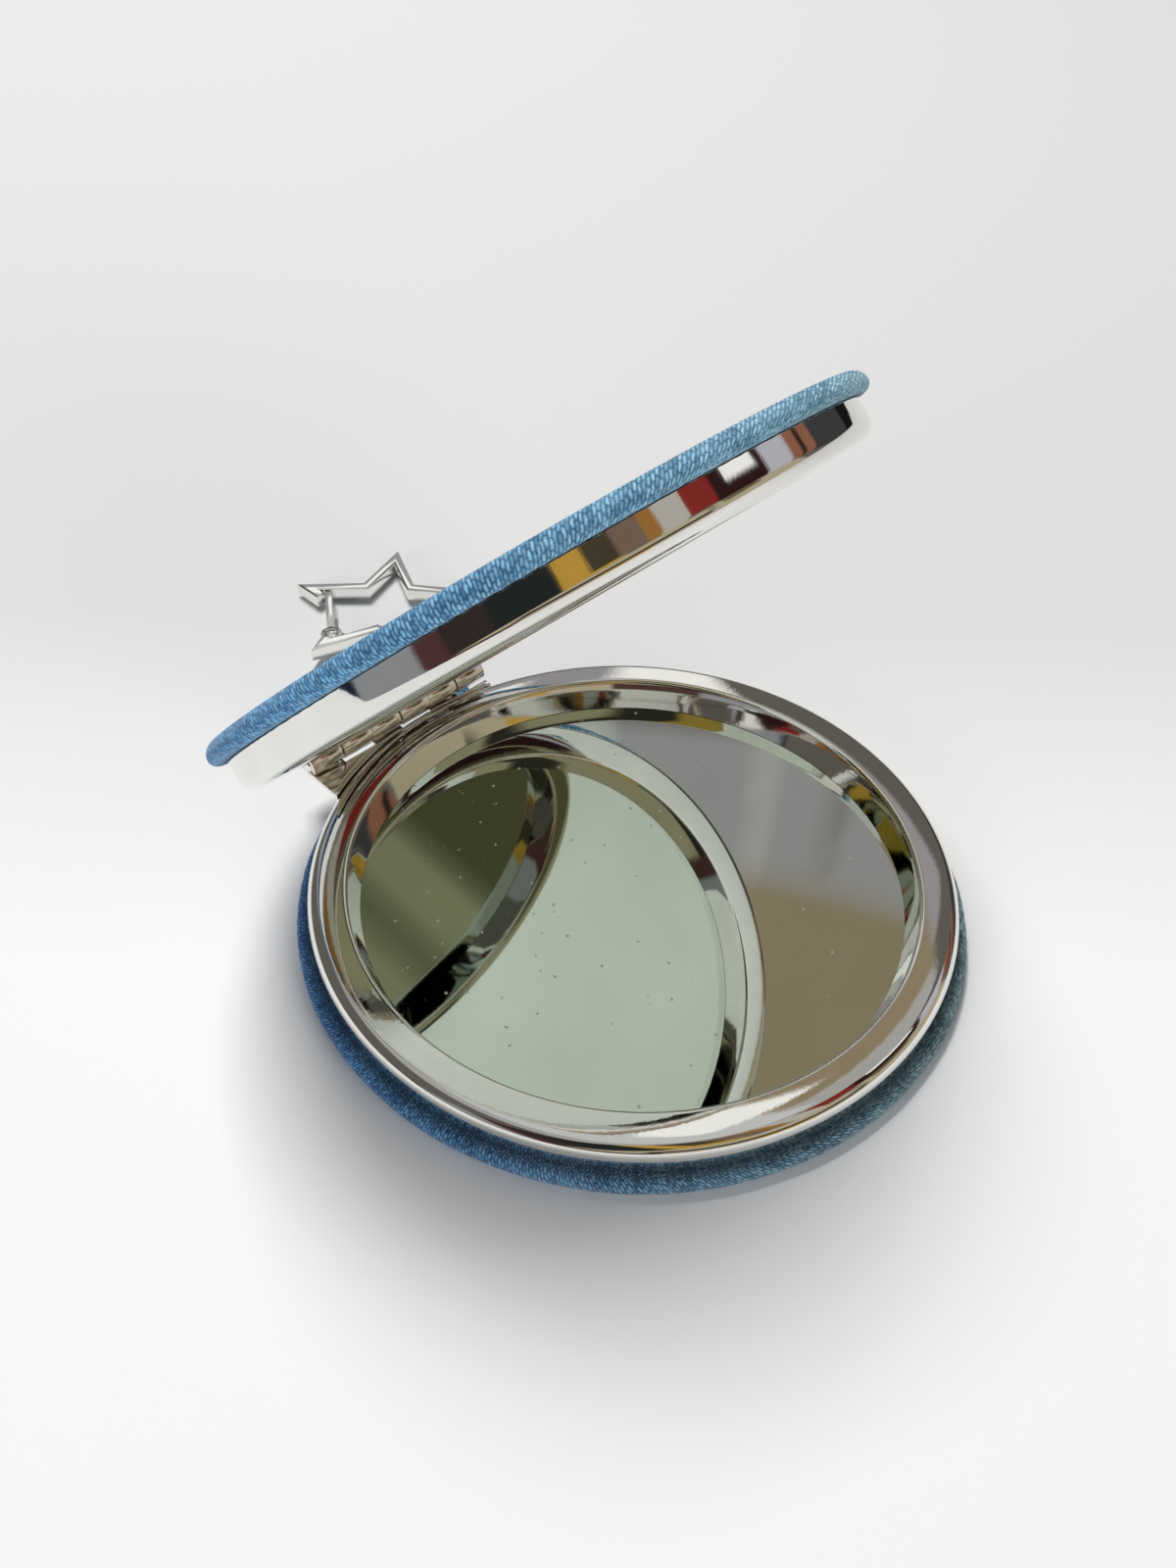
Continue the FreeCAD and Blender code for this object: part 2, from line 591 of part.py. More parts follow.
def gate_spring(star):
    """Hairpin wire: one leg on the gate, one on the star's lower bar, bent round beside the lug."""
    wire = number("spring_wire / 2")
    setback = number("spring_setback")
    leg = number("spring_leg")
    middle = number("star_thickness / 2")
    slope = Rotation(Vector(0, 0, 1), number(GATE_ANGLE))
    gate_run = slope.multVec(Vector(1, 0, 0))
    beside_gate = slope.multVec(Vector(0, -number("gate_width / 2 + fit_gap") - wire, 0))
    gate_line = Vector(number(PIVOT[0]), number(PIVOT[1]), middle) + beside_gate
    heel = Vector(*[number(part) for part in at("star_tip", LEFT_TIP)], middle)
    valley = Vector(*[number(part) for part in at("star_valley", NEAR_TIP - TURN / 2)], middle)
    bar_run = (valley - heel).normalize()
    bar_line = heel + Vector(-bar_run.y, bar_run.x, 0) * (number("star_bar + fit_gap") + wire)

    # The two legs would meet here; the bend leaves each of them a set distance short of it.
    meet = gate_line + gate_run * ((bar_line - gate_line).cross(bar_run).z / gate_run.cross(bar_run).z)
    bisector = (gate_run + bar_run).normalize()
    cosine = bisector.dot(gate_run)
    sine = (1 - cosine ** 2) ** 0.5
    crown = meet + bisector * (setback * (1 - sine) / cosine)
    bend = [meet + gate_run * setback, crown, meet + bar_run * setback]
    tips = [bend[0] + gate_run * leg, bend[2] + bar_run * leg]
    path = Part.Wire([
        Part.LineSegment(tips[0], bend[0]).toShape(),
        Part.Arc(*bend).toShape(),
        Part.LineSegment(bend[2], tips[1]).toShape(),
    ])
    section = Part.Wire(Part.Circle(tips[0], -gate_run, wire).toShape())
    made = piece("Part::Feature", "gate_spring", Placement())
    made.Shape = path.makePipeShell([section], True, False)
    made.Placement = star


base_place = Placement()
turned_over = Placement(Vector(0, 0, 2 * number(HINGE_HEIGHT)), Rotation(Vector(0, 1, 0), 180))
hinge_point = Vector(0, number(HINGE_AXIS), number(HINGE_HEIGHT))
swing = Placement(Vector(), Rotation(Vector(1, 0, 0), -number("lid_angle")), hinge_point)
lid_place = swing.multiply(turned_over)
bearing = Placement(Vector(), Rotation(Vector(0, 0, 1), -number("star_bearing")))
star_lie = Rotation(Vector(1, 0, 0), -number("star_tilt"))
star_place = bearing.multiply(Placement(Vector(0, number(STAR_REACH), number(STAR_LIFT)), star_lie))
pivot_place = star_place.multiply(Placement(Vector(number(PIVOT[0]), number(PIVOT[1]), 0), Rotation()))
gate_place = pivot_place.multiply(Placement(Vector(), Rotation(Vector(0, 0, 1), number(GATE_ANGLE) - 90)))

for half, placement, left in (
    ("base", base_place, "(hinge_shift - hinge_length / 2)"),
    ("lid", lid_place, "(-hinge_shift - hinge_length / 2)"),
):
    soft = [cover(half, placement), padding(half, placement)]
    if half == "base":
        for body in soft:
            strap_slot(body, bearing)
    tray(half, placement)
    frame(half, placement)
    mirror(half, placement)
    magnet(half, placement)
    hinge_leaf(half, placement, left)
hinge_pin()
strap(bearing)
star_frame(star_place)
rivet(pivot_place)
gate(gate_place)
gate_spring(star_place)

doc.recompute()
for made in doc.Objects:
    if "Invalid" in made.State or "Error" in made.State:
        raise RuntimeError(f"{made.Label} did not build: {made.State}")
for made in pieces:
    if made.Shape.isNull() or not made.Shape.isValid():
        raise RuntimeError(f"{made.Label} has no valid shape")

os.makedirs("parts", exist_ok=True)
for made in pieces:
    made.Shape.exportStep(f"parts/{made.Label}.step")
    print(f"{made.Label}: {len(made.Shape.Solids)} solid, {made.Shape.Volume:.2f} mm3")
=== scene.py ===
"""Round compact mirror: denim-covered halves, bright pressed rings, rolled hinge and star clip.

Everything is in metres in the part's own frame; sections are worked out in millimetres.  The glass and
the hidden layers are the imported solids; cloth, rings, hinge and star are remade with finer surfaces.
"""

import json
import math

import bmesh
import bpy
import numpy as np
from mathutils import Matrix, Vector


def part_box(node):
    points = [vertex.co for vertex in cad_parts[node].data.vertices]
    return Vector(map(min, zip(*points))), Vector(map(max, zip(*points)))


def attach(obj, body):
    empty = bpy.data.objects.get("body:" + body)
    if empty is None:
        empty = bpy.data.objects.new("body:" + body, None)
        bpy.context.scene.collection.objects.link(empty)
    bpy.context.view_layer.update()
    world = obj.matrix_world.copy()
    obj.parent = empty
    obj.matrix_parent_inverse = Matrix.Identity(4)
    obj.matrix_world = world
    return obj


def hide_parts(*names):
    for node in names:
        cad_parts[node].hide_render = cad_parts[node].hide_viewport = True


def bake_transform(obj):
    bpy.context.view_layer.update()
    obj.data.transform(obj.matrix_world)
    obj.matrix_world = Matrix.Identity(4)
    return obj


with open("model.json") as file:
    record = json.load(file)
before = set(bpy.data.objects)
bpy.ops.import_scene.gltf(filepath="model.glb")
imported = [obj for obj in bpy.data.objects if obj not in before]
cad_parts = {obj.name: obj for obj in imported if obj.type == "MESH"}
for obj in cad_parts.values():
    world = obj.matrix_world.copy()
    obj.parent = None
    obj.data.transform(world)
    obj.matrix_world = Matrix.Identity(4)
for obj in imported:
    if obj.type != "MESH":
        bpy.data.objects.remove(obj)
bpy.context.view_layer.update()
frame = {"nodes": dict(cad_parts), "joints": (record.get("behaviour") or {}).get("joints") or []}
nodes = frame["nodes"]
joints = {joint["name"]: joint for joint in frame["joints"]}

MM = 0.001

# the pressed ring of a half, in millimetres: the solid's section with a rounder edge and a slight belly
FRAME_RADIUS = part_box("base_frame")[1].x / MM
FRAME_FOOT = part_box("base_frame")[0].z / MM
FRAME_SHEET = 0.5
WALL_BARREL = 30.0      # radius of the wall's slight belly
EDGE_ROUND = 1.6
EDGE_LEAN = math.radians(7)
LAND_WIDTH = 3.8
LAND_RADIUS = 20.0
RIM_ROUND = 0.6
STEP_SLOPE = math.radians(70)
LIP_GAP = 0.05
CLOSING_GAP = 0.3
CREST = joints["lid_hinge"]["pos_m"][2] / MM - CLOSING_GAP / 2
LIP_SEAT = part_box("base_mirror")[1].z / MM + LIP_GAP

# the denim over a half
COVER_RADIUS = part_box("base_cover")[1].x / MM
COVER_CORNER = 1.35
COVER_SHOULDER = 0.8
FOLD_SHADE_START = 0.95       # how far in from the edge the painted shade starts, darkening the cloth towards the ring
FOLD_SHADE_REACH = 0.4
SEAM_GAP = 0.09
FABRIC = 0.6
COVER_TOP = FRAME_FOOT - SEAM_GAP
HEM_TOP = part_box("base_cover")[1].z / MM
HEM_PLAY = 0.1          # between the hem and the ring's wall
HEM_SLACK = 0.05        # how much thicker the hem is than flat cloth
HEM_OUTER = FRAME_RADIUS - FRAME_SHEET - HEM_PLAY
HEM_INNER = HEM_OUTER - FABRIC - HEM_SLACK
GATHERS = 118           # small gathers where the cloth is drawn in to the hem
GATHER_DEPTH = 0.10
SWELL_DEPTH = 0.07      # slow unevenness of the wadding under the edge
LID_CROWN = 0.35        # how far the lid's face swells; the base's is pressed flat by its weight

# the loop, in the upright plane through the star
STRAP_BEARING = math.radians(11.5)
STRAP_WIDTH = 3.0
STRAP_CLOTH = 0.45
STRAP_PLY_GAP = 0.1     # between its two layers where they go in
STRAP_SEAT = 0.2
STRAP_EXIT = 0.8
STRAP_ROOT = HEM_INNER + STRAP_SEAT
STRAP_MOUTH = COVER_RADIUS + STRAP_EXIT
STRAP_LANDING = STRAP_MOUTH + 5.7
STRAP_RISE = STRAP_MOUTH + 6.9      # flat up to here, so that the opened lid clears it
STRAP_DIP = 0.1
STRAP_HUMP = STRAP_MOUTH + 9.7
STRAP_EYE = STRAP_MOUTH + 15.35
STRAP_EYE_RADIUS = 1.3
STRAP_REST = 0.05
SLIT_ROOM = 0.05        # round the loop in the slit that it goes in by
STRAP_TOP = COVER_TOP - SLIT_ROOM
STRAP_HUMP_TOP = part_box("charm_strap")[1].z / MM
STRAP_CORNER = 0.2      # turned-in edges of the strip
STRAP_STEP = 0.3        # between the points of its middle line
STITCH_START = 0.3      # from the mouth to the first stitch
STITCH_INSET = 0.55     # from the strip's edge to a row of stitches
STITCH_LIFT = 0.02

RING_TURNS = 288        # steps round a turned piece
COVER_TURNS = 640
ARC_STEP = 0.09         # millimetres between points along a rounded stretch of an outline
RUN_STEP = 0.9          # and along a straight one
ARC_COUNT = 6           # least steps on an arc

HINGE = joints["lid_hinge"]
HINGE_POINT = Vector(HINGE["pos_m"])
LID_ANGLE = math.radians(-HINGE["range_deg"][0])
LID_PLACE = (
    Matrix.Translation(HINGE_POINT) @ Matrix.Rotation(-LID_ANGLE, 4, "X") @ Matrix.Translation(-HINGE_POINT)
    @ Matrix.Translation((0, 0, 2 * HINGE_POINT.z)) @ Matrix.Rotation(math.pi, 4, "Y")
)
STRAP_PLACE = Matrix.Rotation(-STRAP_BEARING, 4, "Z")


# shapes


def placed(name, data):
    """A new object of the scene, at the origin."""
    made = bpy.data.objects.new(name, data)
    bpy.context.scene.collection.objects.link(made)
    return made


def toward(bearing, height):
    """Direction with a bearing from +X and a height above the floor, in radians: numbers or arrays."""
    level = np.cos(height)
    return np.stack([np.cos(bearing) * level, np.sin(bearing) * level, np.sin(height)], axis=-1)


def arc_points(start, finish, radius, turn):
    """Points along the shorter arc between two points, without the last; turn +1 is anticlockwise."""
    start, finish = Vector(start), Vector(finish)
    chord = finish - start
    side = Vector((-chord.y, chord.x)).normalized() * turn
    centre = (start + finish) / 2 + side * math.sqrt(max(radius ** 2 - chord.length_squared / 4, 0))
    first = math.atan2(start.y - centre.y, start.x - centre.x)
    sweep = 2 * math.asin(min(chord.length / 2 / radius, 1)) * turn
    count = max(int(abs(sweep) * radius / ARC_STEP), ARC_COUNT)
    angles = [first + sweep * step / count for step in range(count)]
    return [(centre.x + radius * math.cos(a), centre.y + radius * math.sin(a)) for a in angles]


def outline(corners, arcs, closed):
    """Points through the corners; arcs maps a corner's number to (radius, turn) of the run after it."""
    points = []
    last = len(corners) if closed else len(corners) - 1
    for index in range(last):
        start, finish = corners[index], corners[(index + 1) % len(corners)]
        if index in arcs:
            points += arc_points(start, finish, *arcs[index])
        else:
            count = max(int(math.dist(start, finish) / RUN_STEP), 1)
            for step in range(count):
                share = step / count
                points.append(tuple(a + (b - a) * share for a, b in zip(start, finish)))
    return points if closed else points + [corners[-1]]


def mesh_object(name, vertices, faces, place=Matrix()):
    """A smooth mesh, in millimetres in its own place, as an object at the origin."""
    mesh = bpy.data.meshes.new(name)
    mesh.from_pydata([place @ (Vector(v) * MM) for v in vertices], [], faces)
    made = placed(name, mesh)
    work = bmesh.new()
    work.from_mesh(mesh)
    bmesh.ops.remove_doubles(work, verts=work.verts, dist=1e-7)
    bmesh.ops.recalc_face_normals(work, faces=work.faces)
    work.to_mesh(mesh)
    work.free()
    mesh.shade_smooth()
    return made


def turned(name, points, closed, place, turns, shape=None):
    """An outline of (radius, height) turned about the half's axis; shape may move its points."""
    radii, heights = np.array(points).T
    angles = np.linspace(0, 2 * math.pi, turns, endpoint=False)[:, None]
    radius, height = np.tile(radii, (turns, 1)), np.tile(heights, (turns, 1))
    if shape:
        radius, height = shape(angles, radius, height)
    vertices = np.stack([radius * np.cos(angles), radius * np.sin(angles), height], axis=2).reshape(-1, 3)
    count = len(points)
    runs = count if closed else count - 1
    faces = []
    for turn in range(turns):
        here, there = turn * count, (turn + 1) % turns * count
        for index in range(runs):
            after = (index + 1) % count
            corners = [here + index, there + index, there + after, here + after]
            if radii[index] == 0:
                corners.pop(1)
            elif radii[after] == 0:
                corners.pop(2)
            faces.append(corners)
    return mesh_object(name, vertices, faces, place)


def sharpen(made, degrees):
    """Keeps edges crisp where two faces meet at more than this."""
    made.data.set_sharp_from_angle(angle=math.radians(degrees))


def bake_modifiers(made):
    """Turns an object's modifiers into plain mesh."""
    graph = bpy.context.evaluated_depsgraph_get()
    finished = bpy.data.meshes.new_from_object(made.evaluated_get(graph))
    made.modifiers.clear()
    made.data = finished


def weave_map(made, place, spread):
    """UV map in millimetres of cloth; spread turns a point of the half's own frame into cloth."""
    layer = made.data.uv_layers.new(name="Weave")
    back = place.inverted()
    flat = [spread(back @ vertex.co / MM) for vertex in made.data.vertices]
    for loop in made.data.loops:
        layer.data[loop.index].uv = flat[loop.vertex_index]


# materials


def material(name):
    """A new material, its node tree and its shader."""
    made = bpy.data.materials.new(name)
    made.use_nodes = True
    return made, made.node_tree, made.node_tree.nodes["Principled BSDF"]


def feed(tree, node, inputs):
    """Fills a node's inputs: a socket is linked, any other value is set."""
    for key, value in inputs.items():
        if isinstance(value, bpy.types.NodeSocket):
            tree.links.new(value, node.inputs[key])
        else:
            node.inputs[key].default_value = value


def add(tree, kind, inputs=None, **settings):
    """A new node with its settings and inputs."""
    made = tree.nodes.new(kind)
    for key, value in settings.items():
        setattr(made, key, value)
    feed(tree, made, inputs or {})
    return made


def calc(tree, operation, *values):
    """Result of a maths node."""
    return add(tree, "ShaderNodeMath", dict(enumerate(values)), operation=operation).outputs[0]


def ramp(tree, factor, stops):
    """Colour ramp through (position, colour) stops."""
    made = add(tree, "ShaderNodeValToRGB", {"Fac": factor})
    elements = made.color_ramp.elements
    while len(elements) < len(stops):
        elements.new(0.5)
    for element, (position, colour) in zip(elements, stops):
        element.position = position
        element.color = (*colour, 1)
    return made.outputs["Color"]


def mixed(tree, factor, first, second):
    """Colour between two; each is a socket or a plain colour."""
    first, second = (c if isinstance(c, bpy.types.NodeSocket) else (*c, 1) for c in (first, second))
    return add(tree, "ShaderNodeMix", {"Factor": factor, 6: first, 7: second}, data_type="RGBA").outputs[2]


def spread_of(tree, value, low, high):
    """Stretches 0..1 to low..high."""
    return add(tree, "ShaderNodeMapRange", {"Value": value, "To Min": low, "To Max": high}).outputs["Result"]


def noise(tree, vector, scale, detail=3.0, roughness=0.5):
    """Soft noise from 0 to 1."""
    inputs = {"Vector": vector, "Scale": scale, "Detail": detail, "Roughness": roughness}
    return add(tree, "ShaderNodeTexNoise", inputs).outputs["Fac"]


def object_place(tree):
    """Where a point lies in its object, in metres."""
    return add(tree, "ShaderNodeTexCoord").outputs["Object"]


THREAD_PITCH = 0.36         # millimetres of cloth from one raised thread to the next
THREAD_LENGTH = 1.05        # and along a thread, from one float to the next
ZIGZAG = 3                  # threads before the steps turn back
WEAVE_SLIP = 0.30           # how far the threads wander
FLOAT_HEIGHT = 0.12         # how high a float stands
LIT_SIDE_WAY = (0.716, -0.698, 0.0)     # painted light: the cloth is paler towards this side, where more light falls
LIT_SIDE_REACH = 0.034                  # metres from the middle to where the change from shaded to lit side ends
FOLD_SHADE_TONE = (0.010, 0.030, 0.045)   # painted shade: dark colour put in the crease where the cloth goes in under the ring
FOLD_SHADE_SHARE = 0.85
DRAW_DEPTH = 0.006                  # millimetres, marks that drawing leaves in a ring's sheet
DUST_CELLS = 420.0                  # cells to a metre of glass that may hold a speck
CLEAN_SHARE = 0.45                  # of those cells hold none
SPECK_REACH = 0.075                 # radius of a speck, in cells


def denim(name, turn, deep, pale):
    """Blue twill of short raised floats in broken zigzags, painted deep on its shaded side and pale on its
    lit side, with painted shade where it goes in under the ring.

    deep and pale are each (colour between the threads, colour of a thread), for the painted shaded and lit
    sides; turn lays the weave, in degrees.
    """
    made, tree, shader = material(name)
    cloth = add(tree, "ShaderNodeUVMap", uv_map="Weave").outputs["UV"]
    lay = (0, 0, math.radians(turn))
    laid = add(tree, "ShaderNodeMapping", {"Vector": cloth, "Rotation": lay}).outputs[0]
    slub = add(tree, "ShaderNodeTexNoise", {"Vector": laid, "Scale": 1.5, "Detail": 3.0}).outputs["Color"]
    slip = add(tree, "ShaderNodeVectorMath", {0: slub, 1: (0.5, 0.5, 0.5)}, operation="SUBTRACT").outputs[0]
    slip = add(tree, "ShaderNodeVectorMath", {0: slip, "Scale": WEAVE_SLIP}, operation="SCALE").outputs[0]
    lie = add(tree, "ShaderNodeVectorMath", {0: laid, 1: slip}, operation="ADD").outputs[0]
    axes = add(tree, "ShaderNodeSeparateXYZ", {"Vector": lie}).outputs
    across = calc(tree, "DIVIDE", axes["X"], THREAD_PITCH)
    column = calc(tree, "FLOOR", across)
    shift = calc(tree, "DIVIDE", calc(tree, "PINGPONG", column, ZIGZAG), ZIGZAG)
    along = calc(tree, "ADD", calc(tree, "DIVIDE", axes["Y"], THREAD_LENGTH), shift)
    cell = add(tree, "ShaderNodeCombineXYZ", {"X": column, "Y": calc(tree, "FLOOR", along)}).outputs[0]
    each = add(tree, "ShaderNodeTexWhiteNoise", {"Vector": cell}, noise_dimensions="2D").outputs["Value"]
    side = calc(tree, "SINE", calc(tree, "MULTIPLY", calc(tree, "FRACT", across), math.pi))
    end = calc(tree, "SINE", calc(tree, "MULTIPLY", calc(tree, "FRACT", along), math.pi))
    float_lift = calc(tree, "MULTIPLY", side, calc(tree, "POWER", end, 0.6))
    fibre = noise(tree, lie, 5.0, 4.0, 0.7)
    blotch = noise(tree, cloth, 0.9, 3.0, 0.6)
    wash = noise(tree, cloth, 0.16, 3.0, 0.55)
    lift = calc(tree, "MULTIPLY", float_lift, calc(tree, "MULTIPLY_ADD", each, 1.0, 0.35))
    tone = calc(tree, "ADD", lift, calc(tree, "MULTIPLY_ADD", fibre, 1.2, -0.60))
    tone = calc(tree, "ADD", tone, calc(tree, "MULTIPLY_ADD", blotch, 0.8, -0.40))
    tone = calc(tree, "ADD", tone, calc(tree, "MULTIPLY_ADD", wash, 0.5, -0.25))
    tone = add(tree, "ShaderNodeClamp", {"Value": tone}).outputs[0]
    # painted light: the cloth is paler towards the lit side and deeper towards the shaded side
    reach = add(tree, "ShaderNodeVectorMath", {0: object_place(tree), 1: LIT_SIDE_WAY}, operation="DOT_PRODUCT")
    lit_side_share = add(tree, "ShaderNodeMapRange", {
        "Value": reach.outputs["Value"], "From Min": -LIT_SIDE_REACH, "From Max": LIT_SIDE_REACH,
    }).outputs["Result"]
    colour = mixed(tree, tone, mixed(tree, lit_side_share, deep[0], pale[0]), mixed(tree, lit_side_share, deep[1], pale[1]))
    # painted shade: the cloth is darkened in the crease where it goes in under the ring
    fold_shade = add(tree, "ShaderNodeAttribute", attribute_name="FoldShade").outputs["Fac"]
    colour = mixed(tree, calc(tree, "MULTIPLY", fold_shade, FOLD_SHADE_SHARE), colour, FOLD_SHADE_TONE)
    relief = add(tree, "ShaderNodeBump", {"Height": lift, "Strength": 0.7, "Distance": FLOAT_HEIGHT * MM})
    feed(tree, shader, {
        "Base Color": colour, "Roughness": spread_of(tree, fibre, 0.80, 0.97),
        "Normal": relief.outputs["Normal"], "Specular IOR Level": 0.2,
        "Sheen Weight": 0.25, "Sheen Roughness": 0.5,
    })
    return made


def plated(name, colour, low, high, ripple, drawn=None):
    """Bright plate: faint ripples from the pressing, hair scratches and a thin haze of handling.

    low and high are the least and most roughness.  drawn is the tilt of a ring's axis from upright: its sheet
    has fine marks along that axis.
    """
    made, tree, shader = material(name)
    place = object_place(tree)
    haze = noise(tree, place, 180.0, 4.0, 0.6)
    streak = add(tree, "ShaderNodeMapping", {"Vector": place, "Scale": (1.0, 9.0, 9.0)}).outputs[0]
    scratch = noise(tree, streak, 900.0, 2.0, 0.7)
    tint = ramp(tree, haze, [(0.2, [c * 0.93 for c in colour]), (0.8, colour)])
    worn = calc(tree, "MULTIPLY", haze, scratch)
    wave = noise(tree, place, 120.0, 1.0)
    relief = add(tree, "ShaderNodeBump", {"Height": wave, "Strength": 0.35, "Distance": ripple * MM})
    if drawn is not None:
        upright = add(tree, "ShaderNodeMapping", {"Vector": place, "Rotation": (drawn, 0, 0)}).outputs[0]
        squeezed = add(tree, "ShaderNodeMapping", {"Vector": upright, "Scale": (1.0, 1.0, 0.12)}).outputs[0]
        marks = noise(tree, squeezed, 1500.0, 2.0, 0.6)
        relief = add(tree, "ShaderNodeBump", {
            "Height": marks, "Strength": 0.5, "Distance": DRAW_DEPTH * MM, "Normal": relief.outputs["Normal"],
        })
    feed(tree, shader, {
        "Base Color": tint, "Roughness": spread_of(tree, worn, low, high), "Metallic": 1.0,
        "Normal": relief.outputs["Normal"],
    })
    return made


def silvered_glass():
    """Mirror: slightly green silver, a breath of haze and a scatter of dust specks."""
    made, tree, shader = material("silvered glass")
    place = object_place(tree)
    haze = noise(tree, place, 60.0, 3.0)
    cells = add(tree, "ShaderNodeTexVoronoi", {"Vector": place, "Scale": DUST_CELLS}, feature="F1")
    speck = calc(tree, "LESS_THAN", cells.outputs["Distance"], SPECK_REACH)
    chosen = add(tree, "ShaderNodeSeparateColor", {"Color": cells.outputs["Color"]}).outputs[0]
    speck = calc(tree, "MULTIPLY", speck, calc(tree, "GREATER_THAN", chosen, CLEAN_SHARE))
    clean = ramp(tree, haze, [(0.3, (0.65, 0.70, 0.635)), (0.7, (0.69, 0.74, 0.675))])
    colour = mixed(tree, speck, clean, (0.92, 0.92, 0.90))
    gloss = spread_of(tree, haze, 0.0, 0.035)
    feed(tree, shader, {
        "Base Color": colour, "Roughness": calc(tree, "MULTIPLY_ADD", speck, 0.6, gloss),
        "Metallic": calc(tree, "MULTIPLY_ADD", speck, -0.45, 1.0),
    })
    return made


def matt(name, light, shade, scale, depth):
    """Plain hidden material with a fine grain."""
    made, tree, shader = material(name)
    grain = noise(tree, object_place(tree), scale, 4.0, 0.6)
    relief = add(tree, "ShaderNodeBump", {"Height": grain, "Strength": 0.5, "Distance": depth * MM})
    feed(tree, shader, {
        "Base Color": ramp(tree, grain, [(0.3, shade), (0.7, light)]),
        "Roughness": spread_of(tree, grain, 0.7, 0.95), "Normal": relief.outputs["Normal"],
    })
    return made


# painted light and shade: the lid's copy of the denim is lighter and the base's copy, used on the loop too,
# darker, for how light falls on them
LIT_DENIM = denim(
    "denim lit copy", -47,
    deep=((0.011, 0.072, 0.200), (0.165, 0.480, 0.800)), pale=((0.080, 0.210, 0.290), (0.540, 0.850, 0.960)),
)
SHADED_DENIM = denim(
    "denim shaded copy", 75,
    deep=((0.008, 0.045, 0.150), (0.110, 0.330, 0.660)), pale=((0.026, 0.070, 0.085), (0.290, 0.430, 0.450)),
)
BASE_PLATE = plated("base ring plate", (0.82, 0.81, 0.78), 0.03, 0.09, 0.02, 0.0)
LID_PLATE = plated("lid ring plate", (0.82, 0.81, 0.78), 0.03, 0.09, 0.02, LID_ANGLE)
HINGE_PLATE = plated("hinge plate", (0.88, 0.87, 0.83), 0.08, 0.24, 0.01)
STAR_PLATE = plated("star plate", (0.92, 0.92, 0.89), 0.04, 0.14, 0.01)
GLASS = silvered_glass()
THREAD = matt("blue thread", (0.16, 0.30, 0.42), (0.10, 0.21, 0.32), 4000.0, 0.03)
WADDING = matt("wadding", (0.82, 0.80, 0.76), (0.68, 0.66, 0.62), 900.0, 0.2)
TAPE = matt("foam tape", (0.90, 0.89, 0.85), (0.80, 0.79, 0.75), 1500.0, 0.1)
TRAY_STEEL = plated("tray steel", (0.60, 0.61, 0.62), 0.25, 0.45, 0.02)


def finish(made, finish_material):
    """Gives an object this material alone."""
    made.data.materials.clear()
    made.data.materials.append(finish_material)


# the two halves


def ring_outline():
    """Section of the pressed ring: up its wall, over the crowned land and down the step to the glass."""
    edge_radius = FRAME_RADIUS - EDGE_ROUND * (1 - math.sin(EDGE_LEAN))
    rim_radius = FRAME_RADIUS - LAND_WIDTH
    offset = edge_radius - rim_radius - LAND_RADIUS * math.sin(EDGE_LEAN)
    fall = math.sqrt(LAND_RADIUS ** 2 - offset ** 2) - LAND_RADIUS * math.cos(EDGE_LEAN)
    rim_lean = offset / LAND_RADIUS
    land_edge = CREST - fall
    belly = land_edge - EDGE_ROUND * math.cos(EDGE_LEAN)
    foot_radius = FRAME_RADIUS - WALL_BARREL + math.sqrt(WALL_BARREL ** 2 - (belly - FRAME_FOOT) ** 2)
    step_top = CREST - RIM_ROUND * (math.sqrt(1 - rim_lean ** 2) - math.cos(STEP_SLOPE))
    step_radius = rim_radius - RIM_ROUND * (math.sin(STEP_SLOPE) - rim_lean)
    lip_radius = step_radius - (step_top - LIP_SEAT) / math.tan(STEP_SLOPE)
    under = belly + EDGE_ROUND - FRAME_SHEET
    lip_back = lip_radius + FRAME_SHEET / math.sin(STEP_SLOPE)
    corners = [
        (foot_radius, FRAME_FOOT), (FRAME_RADIUS, belly), (edge_radius, land_edge), (rim_radius, CREST),
        (step_radius, step_top), (lip_radius, LIP_SEAT), (lip_back, LIP_SEAT),
        (lip_back + (under - LIP_SEAT) / math.tan(STEP_SLOPE), under), (FRAME_RADIUS - EDGE_ROUND, under),
        (FRAME_RADIUS - FRAME_SHEET, belly), (foot_radius - FRAME_SHEET, FRAME_FOOT),
    ]
    arcs = {
        0: (WALL_BARREL, 1), 1: (EDGE_ROUND, 1), 2: (LAND_RADIUS, 1), 3: (RIM_ROUND, 1),
        8: (EDGE_ROUND - FRAME_SHEET, -1), 9: (WALL_BARREL - FRAME_SHEET, -1),
    }
    return outline(corners, arcs, True)


def cover_outline():
    """Section of the denim, from the middle of its face round the edge to the hem and back inside."""
    bend = COVER_RADIUS - COVER_CORNER
    side = COVER_RADIUS - FABRIC
    inside = COVER_TOP - FABRIC
    corners = [
        (0, 0), (bend, 0), (COVER_RADIUS, COVER_CORNER), (COVER_RADIUS, COVER_TOP - COVER_SHOULDER),
        (COVER_RADIUS - COVER_SHOULDER, COVER_TOP), (HEM_OUTER, COVER_TOP), (HEM_OUTER, HEM_TOP),
        (HEM_INNER, HEM_TOP), (HEM_INNER, inside), (side, inside), (side, COVER_CORNER),
        (bend, FABRIC), (0, FABRIC),
    ]
    arcs = {1: (COVER_CORNER, 1), 3: (COVER_SHOULDER, 1), 10: (COVER_CORNER - FABRIC, -1)}
    return outline(corners, arcs, False)


